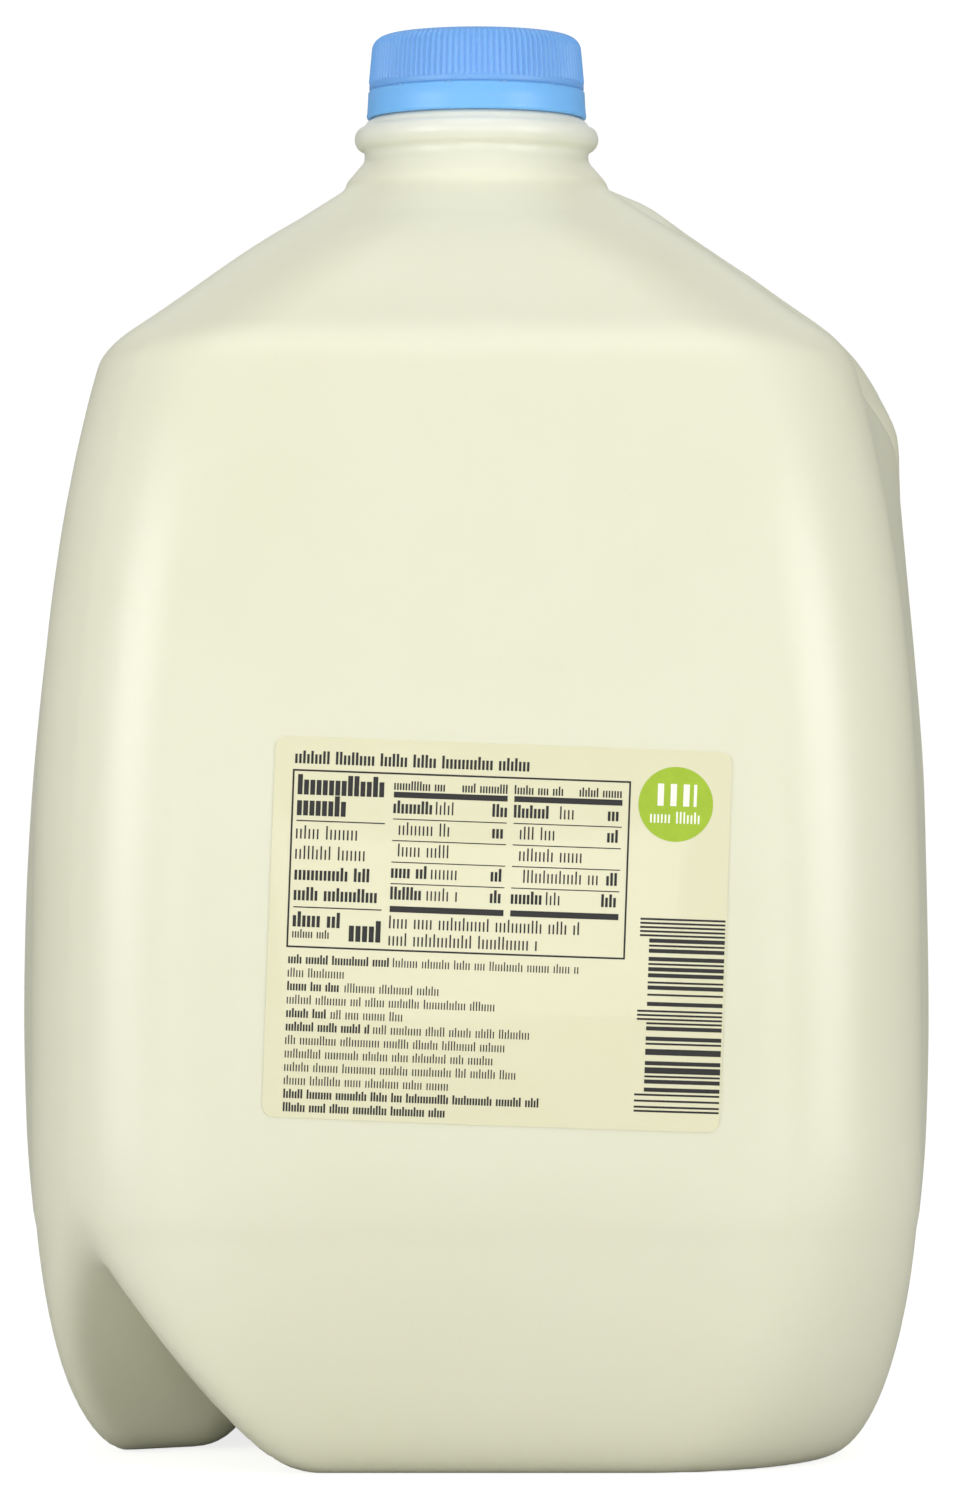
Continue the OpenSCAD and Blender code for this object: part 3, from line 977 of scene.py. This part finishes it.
@dataclass
class Label:
    """The paper-thin film label: a sheet that follows the crowned front panel."""

    form: BottleForm
    width: float = 0.0745
    height: float = 0.062
    corner: float = 0.002
    turn: float = math.radians(2.1)
    middle_x: float = 0.0034
    middle_z: float = 0.0896
    back: float = 0.00003
    front: float = 0.00012
    column_step: float = 0.0016
    row_step: float = 0.003

    def place(self, a: Array, b: Array, lift: float) -> Array:
        """Where a point of the label lies on the panel.

        Args:
            a: Distance from the label's left edge.
            b: Distance below its top edge.
            lift: How far it stands off the panel.

        Returns:
            The points, one row each.
        """
        across, up = a - self.width / 2.0, self.height / 2.0 - b
        x = self.middle_x + across * math.cos(self.turn) + up * math.sin(self.turn)
        z = self.middle_z - across * math.sin(self.turn) + up * math.cos(self.turn)
        return np.stack([x, -self.form.panel(x, z) - lift, z], -1)

    def build(self, material: bpy.types.Material) -> bpy.types.Object:
        """Make the sheet.

        Args:
            material: The film's finish.

        Returns:
            The label.
        """
        arc = self.corner * (1.0 - np.cos(np.linspace(0.0, math.pi / 2.0, 7)))
        inner = np.linspace(self.corner, self.width - self.corner, 60)[1:-1]
        columns = np.concatenate([arc, inner, self.width - arc[::-1]])
        side = np.clip(self.corner - np.minimum(columns, self.width - columns), 0.0, None)
        drop = self.corner - np.sqrt(np.clip(self.corner**2 - side**2, 0.0, None))
        rows = np.linspace(0.0, 1.0, 42)
        a = np.repeat(columns[:, None], len(rows), 1)
        b = drop[:, None] + rows[None, :] * (self.height - 2.0 * drop[:, None])
        piece = new_piece("label_film", *self._sheet(a, b, self.back, self.front), smooth=False)
        fit_piece(piece, material)
        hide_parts("label")
        return piece

    def _sheet(self, a: Array, b: Array, low: float, high: float) -> tuple[Array, list]:
        """A closed slab over a grid of label points.

        Args:
            a: Distances from the label's left edge, as a grid.
            b: Distances below its top edge, as a grid.
            low: How far the slab's back stands off the panel.
            high: How far its front does.

        Returns:
            The corner positions and the faces.
        """
        n, m = a.shape
        verts = np.concatenate([self.place(a, b, high).reshape(-1, 3),
                                self.place(a, b, low).reshape(-1, 3)])
        grid = np.arange(n * m).reshape(n, m)
        front = np.stack([grid[:-1, :-1], grid[:-1, 1:], grid[1:, 1:], grid[1:, :-1]], -1)
        front = front.reshape(-1, 4)
        border = np.concatenate([grid[:, 0], grid[-1, 1:], grid[-2::-1, -1], grid[0, -2:0:-1]])
        ahead = np.roll(border, -1)
        skirt = np.stack([border, ahead, ahead + n * m, border + n * m], 1)
        faces = np.concatenate([front, front[:, ::-1] + n * m, skirt])
        return verts, faces.tolist()

    def slab(self, left: float, top: float, wide: float, tall: float, low: float,
             high: float) -> tuple[Array, list]:
        """A closed printed rectangle, bent to the panel.

        Args:
            left: Its left edge on the label.
            top: Its top edge on the label.
            wide: Its width.
            tall: Its height.
            low: How far its back stands off the panel.
            high: How far its front does.

        Returns:
            The corner positions and the faces.
        """
        columns = np.linspace(left, left + wide, 2 + int(wide / self.column_step))
        rows = np.linspace(top, top + tall, 2 + int(tall / self.row_step))
        a, b = np.meshgrid(columns, rows, indexing="ij")
        return self._sheet(a, b, low, high)

    def disc(self, a: float, b: float, radius: float, low: float,
             high: float) -> tuple[Array, list]:
        """A closed printed disc.

        Args:
            a: Its centre, from the label's left edge.
            b: Its centre, below the label's top edge.
            radius: Its radius.
            low: How far its back stands off the panel.
            high: How far its front does.

        Returns:
            The corner positions and the faces.
        """
        turns = np.linspace(0.0, 2.0 * math.pi, 64, endpoint=False)
        rings = [self.place(a + radius * t * np.cos(turns), b + radius * t * np.sin(turns), lift)
                 for t, lift in ((0.02, low), (0.5, low), (1.0, low), (1.0, high), (0.75, high),
                                 (0.5, high), (0.25, high), (0.02, high))]
        verts, faces = loft_rings(rings, close_start=True, close_end=True)
        return verts, [tuple(reversed(face)) for face in faces]


@dataclass
class LabelPrint:
    """What is printed on the label: a ruled table, lines of blind strokes, a disc and bars.

    The strokes keep the grey of small type and spell nothing.
    """

    label: Label
    low: float = 0.00011
    high: float = 0.000145
    over: float = 0.00016
    seed: int = 7
    letter_pitch: float = 0.31
    low_share: float = 0.74
    tall_chance: float = 0.25
    marks: dict[Ink, list] = field(default_factory=dict)
    dice: random.Random = field(default_factory=random.Random)

    def build(self, inks: dict[Ink, bpy.types.Material]) -> list[bpy.types.Object]:
        """Make every printed piece.

        Args:
            inks: The finish of each colour.

        Returns:
            One piece for each colour.
        """
        self.marks = {ink: [] for ink in Ink}
        self.dice = random.Random(self.seed)
        self._heading()
        self._table()
        self._small_type()
        self._round_mark()
        self._bars()
        pieces = []
        for ink, parts in self.marks.items():
            piece = new_piece(ink.value, *join_parts(parts), smooth=False)
            fit_piece(piece, inks[ink])
            pieces.append(piece)
        return pieces

    def _rule(self, left: float, top: float, wide: float, tall: float,
              ink: Ink = Ink.BLACK) -> None:
        """Print a rectangle, all in millimetres on the label.

        Args:
            left: Its left edge.
            top: Its top edge, below the label's.
            wide: Its width.
            tall: Its height.
            ink: Its colour.
        """
        high = self.over if ink is Ink.WHITE else self.high
        self.marks[ink].append(self.label.slab(left * MM, top * MM, wide * MM, tall * MM,
                                               self.low, high))

    def _type(self, left: float, base: float, length: float, tall: float, heavy: float = 0.5,
              ink: Ink = Ink.BLACK) -> None:
        """Print a line of words as blind strokes, all in millimetres on the label.

        Args:
            left: Where the line starts.
            base: Its foot, below the label's top.
            length: How long it runs.
            tall: Height of a capital.
            heavy: Share of the pitch that a stroke fills.
            ink: Its colour.
        """
        pitch = tall * self.letter_pitch
        x, end = left, left + length
        while x + pitch * heavy < end:
            for _ in range(self.dice.randint(4, 15)):
                if x + pitch * heavy > end:
                    break
                rise = tall if self.dice.random() < self.tall_chance else tall * self.low_share
                self._rule(x, base - rise, pitch * heavy, rise, ink)
                x += pitch
            x += pitch * 1.2

    def _heading(self) -> None:
        """The line above the table."""
        self._type(3.3, 4.35, 38.2, 2.1, 0.62)

    def _table(self) -> None:
        """The ruled table with its three columns."""
        left, top, wide, tall, line = 3.0, 5.3, 55.1, 29.0, 0.30
        for x in (left, left + wide - line):
            self._rule(x, top, line, tall)
        for y in (top, top + tall - line):
            self._rule(left, y, wide, line)
        self._first_column()
        self._rows(19.6, 18.5, ((6.4, 3.5, 0.0, 2.4), (0.0, 8.4, 1.0, 2.3), (0.0, 8.2, 1.0, 0.0),
                                (6.0, 4.4, 0.0, 2.3), (5.4, 5.0, 0.0, 2.3)))
        self._rows(39.2, 17.6, ((7.0, 2.8, 0.0, 2.3), (0.0, 6.0, 1.1, 2.3), (0.0, 10.6, 1.1, 0.0),
                                (0.0, 12.6, 1.9, 2.2), (5.2, 2.4, 0.0, 2.9)))
        self._type(19.6, 30.6, 31.2, 2.1, 0.40)
        self._type(19.6, 33.4, 24.5, 2.1, 0.40)

    def _first_column(self) -> None:
        """The bold words, lines and number block at the table's left."""
        self._type(3.9, 9.4, 14.1, 3.3, 0.78)
        self._type(3.9, 12.8, 8.9, 3.3, 0.78)
        self._rule(3.9, 13.55, 14.4, 0.2)
        for base, length, heavy in ((16.6, 10.4, 0.38), (19.9, 11.7, 0.38), (23.3, 12.2, 0.66),
                                    (26.6, 13.9, 0.66)):
            self._type(3.9, base, length, 2.2, heavy)
        self._rule(3.9, 27.6, 14.4, 0.2)
        self._type(3.9, 30.9, 8.0, 2.5, 0.70)
        self._type(3.9, 32.7, 6.0, 1.4, 0.50)
        self._type(13.1, 33.0, 5.2, 3.5, 0.76)

    def _rows(self, left: float, wide: float,
              rows: tuple[tuple[float, float, float, float], ...]) -> None:
        """A column of the table between its two thick bars.

        Args:
            left: The column's left edge.
            wide: Its width.
            rows: For each row, how long the bold and the light words run, the indent, and how
                long the value at the right runs.
        """
        self._type(left, 8.1, wide * 0.46, 1.5, 0.56)
        self._type(left + wide * 0.6, 8.1, wide * 0.4, 1.5, 0.56)
        self._rule(left, 8.4, wide, 0.95)
        for k, (bold, light, indent, value) in enumerate(rows):
            base = 11.9 + 3.5 * k
            if bold:
                self._type(left, base, bold, 2.1, 0.66)
            self._type(left + indent + (bold + 0.5 if bold else 0.0), base, light, 2.1, 0.38)
            if value:
                self._type(left + wide - value, base, value, 2.1, 0.66)
            if k < len(rows) - 1:
                self._rule(left, base + 0.85, wide, 0.17)
        self._rule(left, 26.95, wide, 1.0)

    def _small_type(self) -> None:
        """The lines under the table."""
        lengths = (47.0, 10.0, 25.0, 34.0, 19.0, 39.0, 36.0, 34.0, 38.0, 27.5, 41.5, 26.5)
        for k, length in enumerate(lengths):
            base = 36.9 + 2.19 * k
            heavy = 0.64 if k > 9 else 0.42
            lead = length * (0.35 if k in (0, 2, 4, 5) else 0.0)
            if lead:
                self._type(3.4, base, lead, 1.5, 0.64)
            self._type(3.4 + lead + (0.6 if lead else 0.0), base, length - lead, 1.5, heavy)

    def _round_mark(self) -> None:
        """The coloured disc with its pale bars."""
        a, b, radius = 65.5, 8.8, 6.1
        self.marks[Ink.GREEN].append(
            self.label.disc(a * MM, b * MM, radius * MM, self.low, self.high))
        for left, wide in ((-3.0, 1.0), (-0.9, 1.0), (1.2, 1.0), (2.9, 0.5)):
            self._rule(a + left, b - 3.3, wide, 3.6, Ink.WHITE)
        self._type(a - 4.1, b + 3.1, 8.4, 1.9, 0.46, Ink.WHITE)

    def _bars(self) -> None:
        """The stacked bars."""
        left, right, top, foot = 61.95, 74.3, 27.4, 58.95
        modules, guard_modules, tall_modules, tall_out = 95, 3, 10, 1.55
        unit = (foot - top) / modules
        k = 0
        while k < modules:
            guard = (k < guard_modules or k > modules - guard_modules - 1
                     or abs(k - modules // 2) < guard_modules)
            bar = 1 if guard else self.dice.choice((1, 1, 2, 2, 3))
            tall = guard or k < tall_modules or k > modules - tall_modules - 1
            start = left - (tall_out if tall else 0.0)
            self._rule(start, top + k * unit, right - start, unit * min(bar, modules - k))
            k += bar + (1 if guard else self.dice.choice((1, 1, 1, 2, 3)))


# ---------------------------------------------------------------- finishes


def rgb(red: int, green: int, blue: int) -> Rgb:
    """A linear colour from screen values.

    Args:
        red: Red, 0 to 255.
        green: Green, 0 to 255.
        blue: Blue, 0 to 255.

    Returns:
        The colour, 0 to 1.
    """
    return tuple((v / 12.92 if v <= 0.04045 else ((v + 0.055) / 1.055) ** 2.4)
                 for v in (red / 255.0, green / 255.0, blue / 255.0))


@dataclass
class Graph:
    """A node tree and short ways to fill it."""

    tree: bpy.types.NodeTree

    def add(self, kind: str, inputs: dict | None = None, **settings: object) -> bpy.types.Node:
        """Add a node.

        Args:
            kind: The node's type.
            inputs: Values or sockets for its inputs.
            settings: Its own properties.

        Returns:
            The node.
        """
        node = self.tree.nodes.new(kind)
        for key, value in settings.items():
            setattr(node, key, value)
        for key, value in (inputs or {}).items():
            if isinstance(value, bpy.types.NodeSocket):
                self.tree.links.new(value, node.inputs[key])
            else:
                node.inputs[key].default_value = value
        return node

    def math(self, operation: str, *values: float | bpy.types.NodeSocket,
             clamp: bool = False) -> bpy.types.NodeSocket:
        """A sum on one to three values.

        Args:
            operation: The sum's name.
            values: Numbers or sockets.
            clamp: Whether the result is held between 0 and 1.

        Returns:
            The result.
        """
        node = self.add("ShaderNodeMath", dict(enumerate(values)), operation=operation,
                        use_clamp=clamp)
        return node.outputs[0]

    def span(self, value: bpy.types.NodeSocket, low: float, high: float, to_low: float = 0.0,
             to_high: float = 1.0) -> bpy.types.NodeSocket:
        """A value carried from one range to another, held at its ends.

        Args:
            value: The value.
            low: Where the first range starts.
            high: Where it ends.
            to_low: Where the second range starts.
            to_high: Where it ends.

        Returns:
            The carried value.
        """
        node = self.add("ShaderNodeMapRange", {"Value": value, "From Min": low, "From Max": high,
                                               "To Min": to_low, "To Max": to_high})
        return node.outputs["Result"]

    def mix(self, share: bpy.types.NodeSocket | float, a: Rgb | bpy.types.NodeSocket,
            b: Rgb | bpy.types.NodeSocket) -> bpy.types.NodeSocket:
        """A blend of two colours.

        Args:
            share: How much of the second.
            a: The first colour.
            b: The second colour.

        Returns:
            The blend.
        """
        node = self.add("ShaderNodeMix", {0: share}, data_type="RGBA")
        for socket, colour in ((node.inputs[6], a), (node.inputs[7], b)):
            if isinstance(colour, bpy.types.NodeSocket):
                self.tree.links.new(colour, socket)
            else:
                socket.default_value = (*colour, 1.0)
        return node.outputs[2]


class SurfaceGroups:
    """The node groups that several finishes share, each built once."""

    def __init__(self) -> None:
        """Build the groups."""
        self.moulded = self._moulded()

    @staticmethod
    def _moulded() -> bpy.types.NodeTree:
        """Grain of moulded plastic: a fine skin, faint flow clouds and a roughness.

        Returns:
            The group, with a mask for the clouds, a roughness offset and a bump height.
        """
        tree = bpy.data.node_groups.new("moulded_grain", "ShaderNodeTree")
        for name, scale in (("Fine Scale", 900.0), ("Cloud Scale", 30.0)):
            socket = tree.interface.new_socket(name, in_out="INPUT",
                                               socket_type="NodeSocketFloat")
            socket.default_value = scale
        for name in ("Cloud", "Roughness", "Height"):
            tree.interface.new_socket(name, in_out="OUTPUT", socket_type="NodeSocketFloat")
        graph = Graph(tree)
        into = graph.add("NodeGroupInput")
        where = graph.add("ShaderNodeTexCoord").outputs["Object"]
        fine = graph.add("ShaderNodeTexNoise", {"Vector": where, "Scale": into.outputs[0],
                                                "Detail": 3.0, "Roughness": 0.6}).outputs["Fac"]
        cloud = graph.add("ShaderNodeTexNoise", {"Vector": where, "Scale": into.outputs[1],
                                                 "Detail": 4.0, "Roughness": 0.55}).outputs["Fac"]
        soft = graph.span(cloud, 0.3, 0.7)
        height = graph.math("ADD", graph.math("MULTIPLY", fine, 0.35),
                            graph.math("MULTIPLY", cloud, 0.65))
        rough = graph.math("MULTIPLY", graph.math("SUBTRACT", cloud, 0.5), 1.0)
        graph.add("NodeGroupOutput", {0: soft, 1: rough, 2: height})
        return tree


@dataclass(frozen=True)
class MouldedFinish:
    """A moulded plastic or a liquid: two tones in soft clouds, grain and inner glow."""

    name: str
    tone: Rgb
    shade: Rgb
    roughness: float = 0.4
    rough_spread: float = 0.12
    ior: float = 1.5
    subsurface: float = 0.0
    radius: Rgb = (0.01, 0.01, 0.01)
    transmission: float = 0.0
    coat: float = 0.0
    bump: float = 0.15
    bump_distance: float = 0.0002
    fine_scale: float = 900.0
    cloud_scale: float = 30.0
    clear_above: float = 0.0
    clear_below: float = 0.008
    clear_over: float = 0.002
    clear_tone: Rgb = (1.0, 1.0, 1.0)

    def build(self, groups: SurfaceGroups) -> bpy.types.Material:
        """Make the material.

        Args:
            groups: The shared groups.

        Returns:
            The material.
        """
        material = bpy.data.materials.new(self.name)
        material.use_nodes = True
        material.node_tree.nodes.clear()
        graph = Graph(material.node_tree)
        grain = graph.add("ShaderNodeGroup", node_tree=groups.moulded)
        grain.inputs["Fine Scale"].default_value = self.fine_scale
        grain.inputs["Cloud Scale"].default_value = self.cloud_scale
        colour = graph.mix(grain.outputs["Cloud"], self.shade, self.tone)
        if self.clear_above:
            where = graph.add("ShaderNodeTexCoord").outputs["Object"]
            height = graph.add("ShaderNodeSeparateXYZ", {0: where}).outputs[2]
            empty = graph.span(height, self.clear_above - self.clear_below,
                               self.clear_above + self.clear_over)
            colour = graph.mix(empty, colour, self.clear_tone)
        rough = graph.math("MULTIPLY_ADD", grain.outputs["Roughness"], self.rough_spread,
                           self.roughness, clamp=True)
        bump = graph.add("ShaderNodeBump", {"Strength": self.bump, "Distance": self.bump_distance,
                                            "Height": grain.outputs["Height"]})
        surface = graph.add("ShaderNodeBsdfPrincipled", {
            "Base Color": colour, "Roughness": rough, "IOR": self.ior, "Normal": bump.outputs[0],
            "Subsurface Weight": self.subsurface, "Subsurface Radius": self.radius,
            "Subsurface Scale": 1.0, "Transmission Weight": self.transmission,
            "Coat Weight": self.coat})
        graph.add("ShaderNodeOutputMaterial", {"Surface": surface.outputs[0]})
        return material


class Finishes:
    """Every finish in the scene."""

    def __init__(self) -> None:
        """Build them all."""
        groups = SurfaceGroups()
        self.plastic = MouldedFinish(
            "natural_polyethylene", rgb(252, 251, 219), rgb(249, 248, 213), roughness=0.36,
            rough_spread=0.10, ior=1.54, subsurface=0.3, radius=(0.007, 0.0065, 0.005),
            transmission=0.12, bump=0.12, bump_distance=0.0003, fine_scale=700.0,
            cloud_scale=22.0, clear_above=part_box("milk")[1].z,
            clear_tone=rgb(250, 252, 234)).build(groups)
        self.milk = MouldedFinish(
            "whole_milk", rgb(252, 251, 226), rgb(251, 250, 223), roughness=0.30, ior=1.35,
            bump=0.0).build(groups)
        self.cap = MouldedFinish(
            "cap_blue", rgb(113, 169, 235), rgb(108, 164, 231), roughness=0.42, ior=1.5,
            subsurface=0.25, radius=(0.001, 0.002, 0.003), bump=0.10,
            bump_distance=0.0001).build(groups)
        self.band = MouldedFinish(
            "band_blue", rgb(119, 185, 251), rgb(114, 180, 247), roughness=0.40, ior=1.5,
            subsurface=0.3, radius=(0.001, 0.002, 0.003), bump=0.08,
            bump_distance=0.0001).build(groups)
        self.film = MouldedFinish(
            "label_cream", rgb(220, 217, 184), rgb(217, 214, 179), roughness=0.42,
            rough_spread=0.08, coat=0.15, bump=0.10, bump_distance=0.00005, fine_scale=1400.0,
            cloud_scale=60.0).build(groups)
        self.inks = {
            Ink.BLACK: self._ink("ink_black", (24, 22, 20), groups),
            Ink.GREEN: self._ink("ink_green", (160, 190, 34), groups),
            Ink.WHITE: self._ink("ink_white", (246, 246, 232), groups),
        }

    @staticmethod
    def _ink(name: str, colour: tuple[int, int, int],
             groups: SurfaceGroups) -> bpy.types.Material:
        """A printed colour, a little uneven as ink on film is.

        Args:
            name: The material's name.
            colour: Its screen values.
            groups: The shared groups.

        Returns:
            The material.
        """
        darker = tuple(max(0, v - 8) for v in colour)
        return MouldedFinish(name, rgb(*colour), rgb(*darker), roughness=0.5, rough_spread=0.1,
                             bump=0.05, bump_distance=0.00002, fine_scale=2500.0,
                             cloud_scale=400.0).build(groups)


# ---------------------------------------------------------------- studio


@dataclass
class Studio:
    """Floor, soft lights and camera around the jug."""

    floor_glow: float = 0.8
    floor_front: float = -3.0
    floor_back: float = 1.6
    sweep_radius: float = 1.0
    wall_top: float = 4.0
    half_width: float = 4.0
    air: float = 0.42
    camera_distance: float = 1.070
    camera_height: float = 0.1196
    lens: float = 146.6
    sensor: float = 36.0

    def build(self) -> None:
        """Set the whole studio up."""
        self._floor()
        self._lights()
        self._camera()
        scene = bpy.context.scene
        scene.view_settings.view_transform = "Standard"
        scene.view_settings.look = "None"

    def _floor(self) -> None:
        """A white sweep: floor, curve and back wall."""
        rings = []
        back, curve = self.floor_back, self.sweep_radius
        profile = [(self.floor_front, 0.0), (back, 0.0)]
        profile += [(back + curve * math.sin(t), curve - curve * math.cos(t))
                    for t in np.linspace(0.1, math.pi / 2.0, 12)]
        profile.append((back + curve, self.wall_top))
        for x in (-self.half_width, self.half_width):
            rings.append(np.array([(x, y, z) for y, z in profile]))
        count = len(profile)
        faces = [(k, k + 1, count + k + 1, count + k) for k in range(count - 1)]
        piece = new_piece("studio_sweep", np.concatenate(rings), faces)
        material = bpy.data.materials.new("studio_white")
        material.use_nodes = True
        shader = material.node_tree.nodes["Principled BSDF"]
        shader.inputs["Base Color"].default_value = (0.43, 0.43, 0.42, 1.0)
        shader.inputs["Roughness"].default_value = 0.9
        shader.inputs["Specular IOR Level"].default_value = 0.1
        shader.inputs["Emission Color"].default_value = (1.0, 1.0, 1.0, 1.0)
        graph = Graph(material.node_tree)
        seen = graph.add("ShaderNodeLightPath").outputs["Is Camera Ray"]
        glow = graph.math("MULTIPLY", seen, self.floor_glow)
        material.node_tree.links.new(glow, shader.inputs["Emission Strength"])
        piece.data.materials.append(material)

    def _lights(self) -> None:
        """Softboxes on both sides, in front, behind and above, and an even white surround."""
        target = Vector((0.0, 0.0, 0.13))
        for name, place, size, power in (
                ("softbox_left", (-1.18, -1.03, 0.32), (0.75, 0.90), 12.5),
                ("softbox_right", (1.18, -1.03, 0.32), (0.75, 0.90), 12.5),
                ("softbox_front", (0.0, -1.9, 0.16), (1.0, 0.3), 6.0),
                ("softbox_back", (0.0, 1.5, 1.0), (1.4, 0.6), 2.0),
                ("softbox_top", (0.0, -0.25, 1.5), (1.2, 1.2), 5.0)):
            data = bpy.data.lights.new(name, "AREA")
            data.shape = "RECTANGLE"
            data.size, data.size_y = size
            data.energy = power
            lamp = bpy.data.objects.new(name, data)
            lamp.location = place
            lamp.rotation_euler = (target - Vector(place)).to_track_quat("-Z", "Y").to_euler()
            bpy.context.scene.collection.objects.link(lamp)
        world = bpy.data.worlds.new("studio_air")
        world.use_nodes = True
        sky = world.node_tree.nodes["Background"]
        sky.inputs["Color"].default_value = (1.0, 1.0, 1.0, 1.0)
        graph = Graph(world.node_tree)
        seen = graph.add("ShaderNodeLightPath").outputs["Is Camera Ray"]
        strength = graph.math("MULTIPLY_ADD", seen, 1.0 - self.air, self.air)
        world.node_tree.links.new(strength, sky.inputs["Strength"])
        bpy.context.scene.world = world

    def _camera(self) -> None:
        """A long lens, level, square to the label."""
        data = bpy.data.cameras.new("camera")
        data.lens = self.lens
        data.sensor_width = self.sensor
        data.sensor_fit = "AUTO"
        data.clip_end = 20.0
        camera = bpy.data.objects.new("camera", data)
        camera.location = (0.0, -self.camera_distance, self.camera_height)
        camera.rotation_euler = (math.pi / 2.0, 0.0, 0.0)
        bpy.context.scene.collection.objects.link(camera)
        bpy.context.scene.camera = camera


def main() -> None:
    """Build the jug and its studio."""
    logging.basicConfig(level=logging.INFO, format="%(name)s: %(message)s")
    finishes = Finishes()
    form = BottleForm()
    skin = BottleSkin(form)
    verts, quads = skin.build()
    slope = skin.slope(verts)
    normals = slope / np.linalg.norm(slope, axis=1)[:, None]
    Bottle(skin).build(finishes.plastic, verts, quads, normals)
    Milk().build(finishes.milk, verts, quads, normals)
    Cap().build(finishes.cap)
    TamperBand().build(finishes.band)
    label = Label(form)
    label.build(finishes.film)
    LabelPrint(label).build(finishes.inks)
    Studio().build()


if __name__ == "__main__":
    main()
